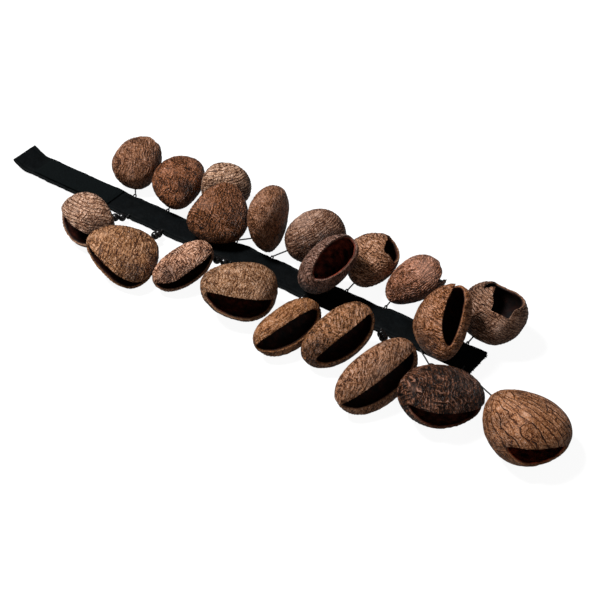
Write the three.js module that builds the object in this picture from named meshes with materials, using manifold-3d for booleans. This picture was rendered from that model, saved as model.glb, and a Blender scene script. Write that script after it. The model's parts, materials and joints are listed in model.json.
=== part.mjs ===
// Foot rattle: a black cloth strap with twenty hollow seed shells tied along both edges.
// Millimetres, +Z up. +X runs along the strap away from its bare tail, +Y points to its far edge.
// The strap lies flat on the ground at z = 0 and the shells lie as they fall when it is put down.

import * as THREE from 'three';
import { mergeVertices } from 'three/addons/utils/BufferGeometryUtils.js';
import Module from 'manifold-3d';

const wasm = await Module();
wasm.setup();

// Driving sizes
const CLEAR = 0.3;          // gap between pieces that touch
const SEED = 44;            // length of a typical seed shell, sets the scale of the layout
const SHELL_WALL = 1.8;     // thickness of the dried seed coat
const STRAP_WIDTH = 20;
const STRAP_THICK = 2.4;    // two layers of cotton tape
const TAIL_LENGTH = 85;     // bare strap before the first tie
const END_MARGIN = 4.2;     // strap left after the last tie
const CURL_LENGTH = 14;     // tail end that curls up
const CURL_RISE = 5;
const TAPE_THICK = 1;       // hook tape and loop tape
const TAPE_INSET = 1.5;     // tape edge to strap edge
const TAPE_END_GAP = 2;     // tape end to the curl, and to the strap's other end
const TAPE_TIE_GAP = 8;     // loop tape to the first tie
const HOOK_LENGTH = 50;
const RAMP = 10;            // strap that climbs onto the hook tape
const CORD_DIA = 0.9;
const KNOT_DIA = 2.6;
const BEAD_DIA = 5;
const BEAD_GAP = 1.2;       // tie loop to the first bead

// Sizes that follow
const SCALE = SEED / 44;
const NEAR_PITCH = 26.2 * SCALE;
const FAR_PITCH = 26.5 * SCALE;
const NEAR_START = 11;      // first near tie after the first far tie
const TIES = 10;
const STRAP_LENGTH = TAIL_LENGTH + NEAR_START + NEAR_PITCH * (TIES - 1) + END_MARGIN;
const HALF_LENGTH = STRAP_LENGTH / 2;
const HALF_WIDTH = STRAP_WIDTH / 2;
const CORD_R = CORD_DIA / 2;
const BAR_R = 0.55 * CORD_DIA;
const LOOP_R = BAR_R + CLEAR + CORD_R;
const LOOP_REACH = LOOP_R + CORD_R;
const BAR_Z = LOOP_REACH + 0.1;
const BAR_INSET = 2 * CORD_R;
const NOTCH_WIDTH = CORD_DIA + 4 * CLEAR;
const NOTCH_DEPTH = BAR_INSET + LOOP_REACH + CLEAR;
const LOOP_LENGTH = TAIL_LENGTH - CURL_LENGTH - TAPE_END_GAP - TAPE_TIE_GAP;
const HOOK_START = HALF_LENGTH - TAPE_END_GAP - HOOK_LENGTH;
const ROUNDNESS = 2.2;      // exponent of the shell's outline, 2 is an ellipsoid
const BOW_LEVEL = 0.4;      // share of the bow that is taken back, so that a bowed shell stays in place
const SHELL_DETAIL = 2;     // subdivision of a shell's outside
const HOLE_DETAIL = 40;     // subdivision that places its cord hole

const BLACK_CLOTH = { color: 0x0c1112, roughness: 0.95, metalness: 0 };
const BLACK_TAPE = { color: 0x101415, roughness: 1, metalness: 0 };
const BLACK_CORD = { color: 0x0a0a0b, roughness: 0.6, metalness: 0 };
const BLACK_GLASS = { color: 0x070708, roughness: 0.15, metalness: 0 };

// One row for each shell, tied in this order from the tail along each edge.
// size: along the mouth, from back to mouth, thickness. turn: heading of the mouth, tilt of its
// long axis, lift of the mouth (degrees). form: how much it widens to the mouth, how much fatter one
// end is, how far its ends bow to the mouth, and how much higher its upper side is, as shares.
// at: centre from its tie along the strap, and outward from the edge it is tied to or, with from,
// another edge that it lies by. mouth: half length, lower lip, upper lip and shift along the shell,
// as shares of its half sizes. beads: threaded on its cord, next to the strap unless slid along it.
const NEAR_SHELLS = [
  { size: [38, 30, 27], turn: [248, 9, -2], form: [-0.02, 0.02, 0, 0.02],
    at: [-6.5, 27.5], mouth: [0.86, 0.5, 0.34, -0.02], beads: 2, color: 0xb98b6a },
  { size: [42.5, 39.5, 20], turn: [276, 23, -2], form: [0.2, -0.18, 0.02, 0.04],
    at: [5.5, 38.5], mouth: [0.88, 0.62, 0.22, -0.02], beads: 2, color: 0x8a6446 },
  { size: [37.5, 35, 24], turn: [171, 31, 19], form: [0.24, -0.12, 0.04, 0.02],
    at: [6, -1], from: 'far', mouth: [0.82, 0.6, 0.44, 0], color: 0x6b4630 },
  { size: [40, 22, 21.5], turn: [341, -16, 1], form: [-0.06, 0.02, 0, -0.06],
    at: [-12, 27], mouth: [0.94, 0.54, 0.34, 0.06], beads: 2, color: 0x9a7556 },
  { size: [43.5, 34.5, 31], turn: [309, 8, 8], form: [-0.1, -0.16, -0.12, -0.06],
    at: [5, 31], mouth: [0.88, 0.64, 0.34, 0], beads: 2, color: 0x8b6747 },
  { size: [43, 22, 25], turn: [343, -11, 21], form: [0.06, -0.04, -0.1, -0.16],
    at: [14.5, 36], mouth: [0.94, 0.6, 0.48, 0.08], beads: 2, color: 0x966a45 },
  { size: [45.5, 26, 26.5], turn: [339, -22, 18], form: [-0.04, -0.04, -0.1, -0.06],
    at: [17, 28], mouth: [0.88, 0.56, 0.44, -0.04], beads: 2, color: 0x8a6748 },
  { size: [51, 22, 30.5], turn: [343, -15, 25], form: [0.16, 0, -0.06, -0.12],
    at: [23.5, 42.5], mouth: [0.96, 0.7, 0.08, 0.04], beads: 2, color: 0x7d5739 },
  { size: [47.5, 34.5, 28], turn: [324, 17, -5], form: [-0.12, 0.14, 0.02, 0.06],
    at: [34.5, 35], mouth: [0.96, 0.52, 0.4, 0], beads: 2, slid: 15, color: 0x4a352b },
  { size: [45, 44.5, 30], turn: [319, 13, 3], form: [0.02, 0.18, -0.02, -0.06],
    at: [54, 29], mouth: [0.72, 0.52, 0.28, 0.1], color: 0x96693f },
];
const FAR_SHELLS = [
  { size: [29.5, 36.5, 27], turn: [106, -5, 13], form: [-0.06, 0.1, -0.02, -0.02],
    at: [-10.5, 15], mouth: [0.86, 0.5, 0.36, 0], color: 0x6f4c35 },
  { size: [30.5, 45.5, 22], turn: [111, -20, -2], form: [0.1, 0.18, -0.08, 0.08],
    at: [-5, 15], mouth: [0.86, 0.5, 0.36, 0], color: 0x5e4132 },
  { size: [31, 28.5, 28], turn: [115, 1, 2], form: [-0.02, -0.08, -0.02, 0.02],
    at: [-2.5, 27.5], mouth: [0.86, 0.5, 0.36, 0], color: 0x75563f },
  { size: [41, 34.5, 20], turn: [94, -87, -8], form: [0.02, -0.24, 0.02, -0.08],
    at: [19, 7.5], mouth: [0.86, 0.5, 0.36, 0], color: 0x6d5241 },
  { size: [37, 28.5, 30.5], turn: [146, 10, -1], form: [-0.02, 0.06, -0.02, 0.04],
    at: [18.5, 16.5], mouth: [0.86, 0.5, 0.36, 0], color: 0x6f5240 },
  { size: [37.5, 43.5, 24.5], turn: [357, -9, 56], form: [0.1, -0.04, 0.18, 0],
    at: [18.5, -9.5], from: 'near', mouth: [0.9, 0.7, 0.64, 0.06], color: 0x6e4a34 },
  { size: [33, 33, 23], turn: [44, -9, 32], form: [0, 0, -0.24, -0.04],
    at: [2, 19.5], mouth: [0.56, 0.44, 0.66, 0.06], color: 0x6c4e3a },
  { size: [35.5, 36.5, 23], turn: [48, 32, 22], form: [0.2, 0.02, 0.02, 0.16],
    at: [8, 16.5], mouth: [0.76, 0.6, 0.5, -0.02], color: 0x774f3b },
  { size: [39.5, 45.5, 23.5], turn: [19, -38, 57], form: [0.3, -0.1, 0.26, 0.02],
    at: [16, -5], from: 'near', mouth: [0.9, 0.2, 0.68, -0.18], color: 0x8a6038 },
  { size: [45, 34, 28], turn: [64, 21, 47], form: [0.06, 0.1, 0.02, -0.18],
    at: [3.5, 15], mouth: [0.64, 0.46, 0.78, 0.3], color: 0x6a5142 },
];

const part = new THREE.Group();
part.name = 'foot_rattle';

// Turns a closed three.js geometry into a solid.
function solid(geometry) {
  const bare = geometry.clone();
  bare.deleteAttribute('normal');
  bare.deleteAttribute('uv');
  const merged = mergeVertices(bare, 1e-5);
  const mesh = new wasm.Mesh({
    numProp: 3,
    vertProperties: new Float32Array(merged.attributes.position.array),
    triVerts: new Uint32Array(merged.index.array),
  });
  mesh.merge();
  return new wasm.Manifold(mesh);
}

// Turns a solid back into a three.js geometry.
function geometryOf(manifold) {
  const mesh = manifold.getMesh();
  const geometry = new THREE.BufferGeometry();
  geometry.setAttribute('position', new THREE.BufferAttribute(mesh.vertProperties, 3));
  geometry.setIndex(new THREE.BufferAttribute(mesh.triVerts, 1));
  geometry.computeVertexNormals();
  return geometry;
}

function addMesh(parent, name, geometry, look) {
  const mesh = new THREE.Mesh(geometry, new THREE.MeshStandardMaterial(look));
  mesh.name = name;
  parent.add(mesh);
  return mesh;
}

const smooth = (t) => {
  const s = Math.min(1, Math.max(0, t));
  return s * s * (3 - 2 * s);
};

// Height of the strap's underside: the tail curls up, and the far end lies on its hook tape.
function strapLift(x) {
  const curl = CURL_RISE * Math.max(0, (CURL_LENGTH - (x + HALF_LENGTH)) / CURL_LENGTH) ** 2;
  const raised = (TAPE_THICK + CLEAR) * smooth((x - HOOK_START + 2 * RAMP) / RAMP);
  return curl + raised;
}

function liftAlongStrap(geometry) {
  const p = geometry.attributes.position;
  for (let i = 0; i < p.count; i += 1) {
    p.setZ(i, p.getZ(i) + strapLift(p.getX(i)));
  }
  return geometry;
}

// Point on the thread bar that a tie cord is looped round.
function tiePoint(side, index) {
  const start = side === 'near' ? TAIL_LENGTH + NEAR_START : TAIL_LENGTH;
  const pitch = side === 'near' ? NEAR_PITCH : FAR_PITCH;
  const x = -HALF_LENGTH + start + pitch * index;
  const outward = side === 'near' ? -1 : 1;
  return new THREE.Vector3(x, outward * (HALF_WIDTH - BAR_INSET), strapLift(x) + BAR_Z);
}

// Strap: a curled cloth band, notched at each tie, with a sewn thread bar across every notch.
function makeStrap() {
  const band = new THREE.BoxGeometry(STRAP_LENGTH, STRAP_WIDTH, STRAP_THICK, 42, 1, 1);
  band.translate(0, 0, STRAP_THICK / 2);
  const notches = [];
  const bars = [];
  for (const side of ['near', 'far']) {
    for (let i = 0; i < TIES; i += 1) {
      const tie = tiePoint(side, i);
      const notch = new THREE.BoxGeometry(NOTCH_WIDTH, 2 * NOTCH_DEPTH, 6 * STRAP_THICK);
      notch.translate(tie.x, Math.sign(tie.y) * HALF_WIDTH, tie.z);
      notches.push(solid(notch));
      const bar = new THREE.CylinderGeometry(BAR_R, BAR_R, NOTCH_WIDTH + 2 * CORD_DIA, 6);
      bar.rotateZ(Math.PI / 2);
      bar.translate(tie.x, tie.y, tie.z);
      bars.push(solid(bar));
    }
  }
  const notched = solid(liftAlongStrap(band)).subtract(wasm.Manifold.union(notches));
  return geometryOf(notched.add(wasm.Manifold.union(bars)));
}

function makeTape(length) {
  return new THREE.BoxGeometry(length, STRAP_WIDTH - 2 * TAPE_INSET, TAPE_THICK, 8, 1, 1);
}

// Seed with half sizes along the mouth, from back to mouth and in thickness: a rounded form that is
// widened to the mouth, fattened at one end, bowed and raised on its upper side.
function seedForm(detail, [a, b, c], [egg, taper, bow, dome]) {
  const seed = new THREE.IcosahedronGeometry(1, detail);
  const p = seed.attributes.position;
  for (let i = 0; i < p.count; i += 1) {
    const d = [p.getX(i), p.getY(i), p.getZ(i)];
    const sum = d.reduce((s, v) => s + Math.abs(v) ** ROUNDNESS, 0);
    const [u, v, w] = d.map((x) => x * sum ** (-1 / ROUNDNESS));
    const wide = 1 + egg * v;
    const full = 1 + taper * u;
    const rise = w > 0 ? 1 + dome : 1 - dome;
    p.setX(i, a * u * wide);
    p.setY(i, b * (v * full + bow * (u * u - BOW_LEVEL)));
    p.setZ(i, c * w * wide * full * rise);
  }
  return seed;
}

function hollowForm(half, form) {
  return seedForm(SHELL_DETAIL - 1, half.map((size) => size - SHELL_WALL), form);
}

// Outline of the mouth seen from the front: two half ellipses that meet at its corners.
function mouthOutline(a, c, [span, low, up, shift]) {
  const steps = 16;
  const points = [];
  for (let i = 0; i < steps; i += 1) {
    const t = (2 * Math.PI * i) / steps;
    const lip = Math.sin(t) > 0 ? up : low;
    points.push(new THREE.Vector2(a * (shift + span * Math.cos(t)), -c * lip * Math.sin(t)));
  }
  return new THREE.Shape(points);
}

function shellFrame([heading, tilt, lift]) {
  const h = THREE.MathUtils.degToRad(heading);
  const t = THREE.MathUtils.degToRad(tilt);
  const r = THREE.MathUtils.degToRad(lift);
  const level = new THREE.Vector3(Math.cos(h), Math.sin(h), 0);
  const u = new THREE.Vector3(Math.cos(t) * Math.sin(h), -Math.cos(t) * Math.cos(h), Math.sin(t));
  const upright = u.clone().cross(level);
  const v = level.multiplyScalar(Math.cos(r)).addScaledVector(upright, Math.sin(r));
  const w = u.clone().cross(v);
  return new THREE.Matrix4().makeBasis(u, v, w);
}

// Height at which a shell rests on the ground, or on the strap where it lies over it.
function restHeight(seed, turned, x, y) {
  const p = seed.attributes.position;
  const point = new THREE.Vector3();
  let height = 0;
  for (let i = 0; i < p.count; i += 1) {
    point.fromBufferAttribute(p, i).applyMatrix4(turned);
    const px = x + point.x;
    const overStrap = Math.abs(y + point.y) < HALF_WIDTH + CLEAR && Math.abs(px) < HALF_LENGTH;
    const ground = overStrap ? strapLift(px) + STRAP_THICK : 0;
    height = Math.max(height, ground + CLEAR - point.z);
  }
  return height;
}

// Point of the shell nearest to its tie, where its cord hole is drilled.
function nearestPoint(seed, target) {
  const p = seed.attributes.position;
  const point = new THREE.Vector3();
  let best = null;
  for (let i = 0; i < p.count; i += 1) {
    point.fromBufferAttribute(p, i);
    if (best === null || point.distanceTo(target) < best.distanceTo(target)) {
      best = point.clone();
    }
  }
  return best;
}

// Distance from the cord hole's outer end through the wall, to the hollow inside.
function wallAt(half, form, hole, inward) {
  const bothSides = new THREE.MeshBasicMaterial({ side: THREE.DoubleSide });
  const hollow = new THREE.Mesh(hollowForm(half, form), bothSides);
  return new THREE.Raycaster(hole, inward).intersectObject(hollow)[0].distance;
}

// Straight rod from one point to another.
function rod(from, to, radius, sides) {
  const along = to.clone().sub(from);
  const geometry = new THREE.CylinderGeometry(radius, radius, along.length(), sides);
  const way = along.clone().normalize();
  const turn = new THREE.Quaternion().setFromUnitVectors(new THREE.Vector3(0, 1, 0), way);
  geometry.applyQuaternion(turn);
  const middle = from.clone().addScaledVector(along, 0.5);
  return geometry.translate(middle.x, middle.y, middle.z);
}

// Hollow shell with its mouth cut open and its cord hole drilled, in its own frame.
function makeShell(half, form, mouth, hole, inward, through) {
  const [a, b, c] = half;
  const outer = solid(seedForm(SHELL_DETAIL, half, form));
  const inner = solid(hollowForm(half, form));
  const cut = new THREE.ExtrudeGeometry(mouthOutline(a, c, mouth), { depth: 2 * b, bevelEnabled: false });
  cut.rotateX(-Math.PI / 2);
  const from = hole.clone().addScaledVector(inward, -2 * SHELL_WALL);
  const to = hole.clone().addScaledVector(inward, through + SHELL_WALL);
  const bore = solid(rod(from, to, CORD_R + CLEAR, 6));
  return outer.subtract(inner).subtract(solid(cut)).subtract(bore).simplify(0.12);
}

function makeKnot(at) {
  const ball = new THREE.OctahedronGeometry(KNOT_DIA / 2, 1);
  return solid(ball.translate(at.x, at.y, at.z));
}

// Middle of the knot: as near to the cord hole as it goes without touching the wall.
function knotSeat(shell, hole, inward, through) {
  const seat = hole.clone().addScaledVector(inward, through + KNOT_DIA / 2);
  while (shell.minGap(makeKnot(seat), KNOT_DIA) < CLEAR) {
    seat.addScaledVector(inward, CLEAR / 3);
  }
  return seat;
}

// Tie cord: a loop round the thread bar, a straight run through the beads and the shell, a knot.
function makeTie(tie, start, knot) {
  const loop = new THREE.TorusGeometry(LOOP_R, CORD_R, 4, 9);
  loop.rotateY(Math.PI / 2);
  loop.translate(tie.x, tie.y, tie.z);
  const run = rod(start, knot, CORD_R, 5);
  return geometryOf(wasm.Manifold.union([solid(loop), solid(run), makeKnot(knot)]));
}

// Round bead with a bore for the cord, its axis along Y.
function makeBead() {
  const boreR = CORD_R + CLEAR;
  const r = BEAD_DIA / 2;
  const edge = Math.asin(boreR / r);
  const steps = 5;
  const profile = [];
  for (let i = 0; i <= steps; i += 1) {
    const t = -Math.PI / 2 + edge + (i / steps) * (Math.PI - 2 * edge);
    profile.push(new THREE.Vector2(r * Math.cos(t), r * Math.sin(t)));
  }
  profile.push(profile[0].clone());
  return new THREE.LatheGeometry(profile, 8);
}

function addRattle(side, index, row) {
  const label = `${side}_${String(index + 1).padStart(2, '0')}`;
  const tie = tiePoint(side, index);
  const half = row.size.map((size) => (size * SCALE) / 2);
  const turned = shellFrame(row.turn);
  const x = tie.x + row.at[0] * SCALE;
  const fromEdge = (row.from ?? side) === 'near' ? -1 : 1;
  const y = fromEdge * (HALF_WIDTH + row.at[1] * SCALE);
  const seed = seedForm(SHELL_DETAIL, half, row.form);
  const centre = new THREE.Vector3(x, y, restHeight(seed, turned, x, y));
  const place = new THREE.Matrix4().makeTranslation(centre.x, centre.y, centre.z).multiply(turned);
  const toShell = place.clone().invert();

  const hole = nearestPoint(seedForm(HOLE_DETAIL, half, row.form), tie.clone().applyMatrix4(toShell));
  const holeAt = hole.clone().applyMatrix4(place);
  const aim = holeAt.clone().sub(tie);
  const start = tie.clone().addScaledVector(new THREE.Vector3(0, aim.y, aim.z).normalize(), LOOP_R);
  const inward = holeAt.clone().sub(start).normalize();
  const inwardLocal = inward.clone().transformDirection(toShell);
  const through = wallAt(half, row.form, hole, inwardLocal);
  const shell = makeShell(half, row.form, row.mouth, hole, inwardLocal, through);
  const knot = knotSeat(shell, hole, inwardLocal, through).applyMatrix4(place);

  const holder = new THREE.Group();
  holder.applyMatrix4(place);
  part.add(holder);
  const look = { color: row.color, roughness: 0.75, metalness: 0 };
  addMesh(holder, `seed_shell_${label}`, geometryOf(shell), look);
  addMesh(part, `tie_cord_${label}`, makeTie(tie, start, knot), BLACK_CORD);

  const names = ['strap_side', 'shell_side'];
  for (let i = 0; i < (row.beads ?? 0); i += 1) {
    const along = CORD_R + BEAD_GAP + BEAD_DIA / 2 + i * (BEAD_DIA + CLEAR) + (row.slid ?? 0);
    const bead = addMesh(part, `bead_${label}_${names[i]}`, makeBead(), BLACK_GLASS);
    bead.position.copy(start).addScaledVector(inward, along);
    bead.quaternion.setFromUnitVectors(new THREE.Vector3(0, 1, 0), inward);
  }
}

addMesh(part, 'strap_band', makeStrap(), BLACK_CLOTH);

const loopTape = makeTape(LOOP_LENGTH);
const loopX = -HALF_LENGTH + CURL_LENGTH + TAPE_END_GAP + LOOP_LENGTH / 2;
loopTape.translate(loopX, 0, STRAP_THICK + CLEAR + TAPE_THICK / 2);
addMesh(part, 'tail_loop_tape', loopTape, BLACK_TAPE);

const hookTape = makeTape(HOOK_LENGTH);
hookTape.translate(HOOK_START + HOOK_LENGTH / 2, 0, TAPE_THICK / 2);
addMesh(part, 'end_hook_tape', hookTape, BLACK_TAPE);

NEAR_SHELLS.forEach((row, index) => addRattle('near', index, row));
FAR_SHELLS.forEach((row, index) => addRattle('far', index, row));

export default part;
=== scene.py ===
import json
import math

import bpy
import numpy as np
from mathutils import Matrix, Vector


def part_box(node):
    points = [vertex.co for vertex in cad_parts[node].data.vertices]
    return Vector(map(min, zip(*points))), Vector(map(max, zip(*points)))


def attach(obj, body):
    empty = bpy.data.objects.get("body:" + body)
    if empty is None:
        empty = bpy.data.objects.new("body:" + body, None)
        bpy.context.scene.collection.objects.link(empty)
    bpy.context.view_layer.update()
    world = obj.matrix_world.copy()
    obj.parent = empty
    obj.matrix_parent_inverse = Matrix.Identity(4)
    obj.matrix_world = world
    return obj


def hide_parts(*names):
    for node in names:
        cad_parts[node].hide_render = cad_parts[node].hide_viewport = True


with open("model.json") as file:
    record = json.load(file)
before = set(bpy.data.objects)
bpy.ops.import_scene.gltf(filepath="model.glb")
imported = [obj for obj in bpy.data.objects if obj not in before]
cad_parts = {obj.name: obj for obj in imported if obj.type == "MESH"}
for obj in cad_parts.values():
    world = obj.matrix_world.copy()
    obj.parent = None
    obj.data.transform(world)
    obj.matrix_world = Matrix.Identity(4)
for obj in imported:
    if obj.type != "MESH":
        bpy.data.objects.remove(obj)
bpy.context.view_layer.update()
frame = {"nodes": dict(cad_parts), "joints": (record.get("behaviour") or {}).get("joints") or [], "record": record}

# Foot rattle on a white ground. Lengths are in millimetres and become metres where a mesh is made.
MM = 0.001
TURN = 2 * np.pi

# Camera at the photograph's angle
VIEW_AZIMUTH = 35.64
VIEW_ELEVATION = 40
VIEW_DISTANCE = 796
VIEW_TARGET = (57.4, -10.6, 0)
FOCAL_SHARE = 1400 / 600   # focal length over image width
SENSOR = 36
CLIP = (0.01, 100)         # nearest and furthest drawn, in metres

# Directions in the camera's picture
PICTURE_RIGHT = np.array([0.813, 0.583, 0])
PICTURE_UP = np.array([-0.375, 0.523, 0.766])
PICTURE_NEAR = np.array([0.446, -0.623, 0.643])

# Floor and light
FLOOR_SIZE = 40            # metres
FLOOR_DROP = 0.4
FLOOR_GREY = 0.12
FLOOR_ROUGH = 0.9
FLOOR_GLOW = 0.1
CAMERA_GLOW = 0.83         # added for the camera alone
WORLD_LIGHT = 0.11
WORLD_SHINE = 0.1          # the world as gloss mirrors it
LAMP_TARGET = (0.03, 0, 0)
LAMPS = {                  # metres and watts
    "key": dict(place=(-0.45, -0.3, 1.2), power=32, size=0.3),
    "fill": dict(place=(0.9, -0.7, 0.6), power=2.5, size=0.8),
}

# Sizes shared with the solids
ROUNDNESS = 2.2
BOW_LEVEL = 0.4
SHELL_WALL = 1.8
RIM_WALL = 1.3
STRAP_LENGTH = 336
STRAP_WIDTH = 20
STRAP_THICK = 2.4
CURL_LENGTH = 14
CURL_RISE = 5
HOOK_RISE = 1.3
HOOK_RAMP = (96, 106)
LOOP_R = 1.245
BEAD_DIA = 5
BEAD_BORE_R = 0.75

# Mesh fineness
SHELL_ROUND = 200          # points round the mouth
SHELL_DOWN = 90            # rings from the rim to the back
SHELL_INSIDE = 28          # rings inside
STRAP_RINGS = 500          # rings along the strap
STRAP_ROUND = 56           # points round the strap
TAPE_LONG = 160            # points along a tape
TAPE_WIDE = 44             # points across a tape
THREAD_SIDES = 7
LOOP_STEPS = 48            # points along a loop
RUN_STEP = 0.22            # length between points along a cord
LEAST_STEPS = 12
WRAP_STEPS = 60            # points along the wraps of a knot
BEAD_RINGS = 19
BEAD_ROUND = 32
FRAY_SIDES = 5
FRAY_STEPS = 6

# Layers of noise: wave length, height and a number that is added to the seed
LUMPS = ((11, 0.3, 10), (5, 0.2, 11))         # outside of a shell
INNER_LUMPS = ((3.5, 0.25, 20),)              # inside of a shell
CLOUDS = ((9, 0.35, 30), (3.5, 0.25, 31))     # dark and pale patches of a coat
WANDER = ((10, 2.2, 0), (4, 0.8, 1))          # straying, counted in grooves
CROSSING = ((7, 1.3, 5),)                     # where one set of grooves gives way to the other
GRAIN_WARP = ((7, 1.5, 6),)                   # bending of the grain
EDGE_WAVES = ((13, 0.8, 6), (4, 0.3, 8))      # edges of the strap
TORN_END = ((1.3, 1.1, 11), (4, 1, 12))       # cut end of the strap
TAPE_PILE = ((0.8, 0.12, 8),)                 # top of a tape

# Seed shells
SEEDS_EACH = 40            # seeds kept for each shell
LUMP_SINK = 0.25           # keeps the lumps about level with the solid
FOLD_HEIGHT = 0.12         # height of the folds along the grooves
RIM_SWELL = 0.25           # rounding of the rim
RIM_WAVES = 3
RIM_WOBBLE = 0.03
LEAST_LIP = 0.2
CROSS_TURN = 70            # degrees from one set of grooves to the other
CROSS_UNIT = 0.8           # grooves of the second set for each of the first
GROOVE_LEAN = 0.3          # lean of the grooves towards the camera
GRAIN_ALONG = 0.35         # grain for each unit along the grooves
GRAIN_ACROSS = 1.6         # grain that is added across them
INNER_GRAIN = 3
STEM = np.array([15, -14, 9])  # in a shell's own axes

# Cloth of the strap
EDGE_POWER = 0.55          # how square its edges are
FACE_POWER = 0.35          # how flat its faces are
HEM = (8.9, 0.7, 0.12)     # raised hem: distance from the middle line, width, height
SEAM = (7.6, 0.35, -0.28)  # sunk seam beside it
WRINKLE_LENGTH = 9
WRINKLE_HEIGHT = 0.4
FINER = (3, 2, 1)          # how much closer the fine wrinkles lie
FINE_HEIGHT = 0.16
WRINKLE_SEEDS = (3, 4)     # wrinkles and fine wrinkles
CLOTH_SINK = 0.25          # keeps the wrinkles about level with the solid
WAVY_FROM = 3              # where the wavy edge begins, from the middle line
TIE_SPREAD = 2.2           # half length of the place that a tie draws in
PULL_FROM = 5
PULL = 0.35
PINCH_FROM = 6
PINCH = 0.25               # share of the thickness that a tie takes
TORN_LENGTH = 5
END_ROUND = 1.2

# Loose threads at the cut end. inside, across, through: where the roots lie. lean: sideways and upward
# share of the way. bend, droop: sideways and downward bend.
FRAY_SEED = 4
FRAY_THREADS = 26
FRAY = dict(inside=1, across=9.3, through=0.7, lean=(0.7, 0.4), length=(0.9, 1.7), bend=0.6, droop=0.5,
            radius=0.13)

# Fastening tapes
TAPE_END = 3               # length over which an end thins
TAPE_SIDE = 0.8            # width over which a side thins
TAPE_LEAST = 0.3           # share of the solid's height at the edges
TAPE_MORE = 0.65           # share that is added inside the edges
TAPE_UNDER = 0.05          # how far the underside lies inside the solid

# Tie cords and beads
PLY_R = 0.26
PLY_OUT = 0.23             # from the middle of the cord to the middle of a ply
PLY_LAY = 2.0              # length of one twist
LOOP_SLIDE = 0.35          # how far the loop moves along its bar
KNOT_REACH = 2.7           # corners of the solid this near its end are the knot's
KNOT_R = 0.75
KNOT_RISE = 0.7            # half height of the wraps over their radius
KNOT_WRAPS = 3
KNOT_THREAD_R = 0.45
NO_PATH = (0.31, 0.17, 0.93)  # a way that no path here runs
BEAD_FLAT = 0.97           # height of a bead over its diameter
BORE_SHARE = 0.9           # length of the straight bore over that of the bead

# Noises in the materials: waves per metre, detail and roughness
STREAKS = (1.0, 3, 0.6)    # waves per unit of the grain
MOTTLE = (420, 3, 0.65)
GRIT = (1500, 2, 0.6)
WEAR = (130, 2, 0.5)
LINING_SPOTS = (220, 4, 0.6)
RIM_SPOTS = (700, 3, 0.6)
COTTON_THREAD = (2600, 2, 0.5)
COTTON_FUZZ = (160, 5, 0.65)
COTTON_FOLD = (110, 3, 0.55)

# What makes up a coat: weights in its tone, from 0 for dark to 1 for pale, and in its height
# The crest weight in the tone paints pale glints on the crests.
TONE = dict(base=0.68, streak=1.2, mottle=1.2, grit=1.5, crack=-0.12, split=-0.7, groove=-1.3, crest_glint=0.7,
            veined=-0.3)
HEIGHT = dict(base=0.5, streak=1, crack=-0.2, split=-0.4, groove=-0.6, swell=0.15)
BUMP = dict(grit=0.5, mottle=0.3)
CRACKS = (1.3, 0.12)       # cells for each unit of the grain, and width
SPLITS = (0.4, 0.06)
STRAY = 0.6                # share of the straying that the noises give
WEAR_STOPS = (0.36, 0.6)   # noise at which the grooves are most worn, and whole
BREAKS = (0.75, 0.5)       # mottle at which a groove is whole, and how far from it none is left
# breadth of the painted glints on the crests
GLINT_WIDTH = 0.3
DEEPEST = 0.4              # deepest dark over the dark of the grooves
GLINT_SHARES = (0.9, 0.6)          # shares of the light colour and of its grey in the painted glints on the palest crests
SKIN_STOPS = (0.05, 0.28, 0.52, 0.74, 1.0)
PATCH_TINTS = ((0.3, 0.28, 0.28, 1), (0.95, 0.93, 0.92, 1), (1.3, 1.28, 1.26, 1))
PAINTED_SHEEN = 0.35               # most of the painted sheen, a pale wash on a pale patch
EVEN = 0.45                # power at which steps of light look even
COAT_ROUGH = 0.65
COAT_SPECULAR = 0.16

# Nearly black materials. grain: noise in the colour. shades: colours by that noise. bump: strength and
# height. bump_grain: noise of the bumps, where it is another one.
BLACKS = {
    "fastening_tape": dict(grain=(1800, 4, 0.75), shades=((0.3, "030404"), (0.75, "0d1213")),
                           bump=(0.9, 0.6), rough=0.9, specular=0.04),
    "waxed_thread": dict(grain=(3500, 3, 0.6), shades=((0.3, "050505"), (0.8, "1a1a1b")),
                         bump=(0.4, 0.2), rough=0.55, specular=0.4),
    "black_bead": dict(grain=(400, 3, 0.6), shades=((0.3, "040404"), (0.8, "121214")),
                       bump=(0.08, 0.2), bump_grain=(900, 2, 0.6), rough=0.28, specular=0.5),
}

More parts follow.
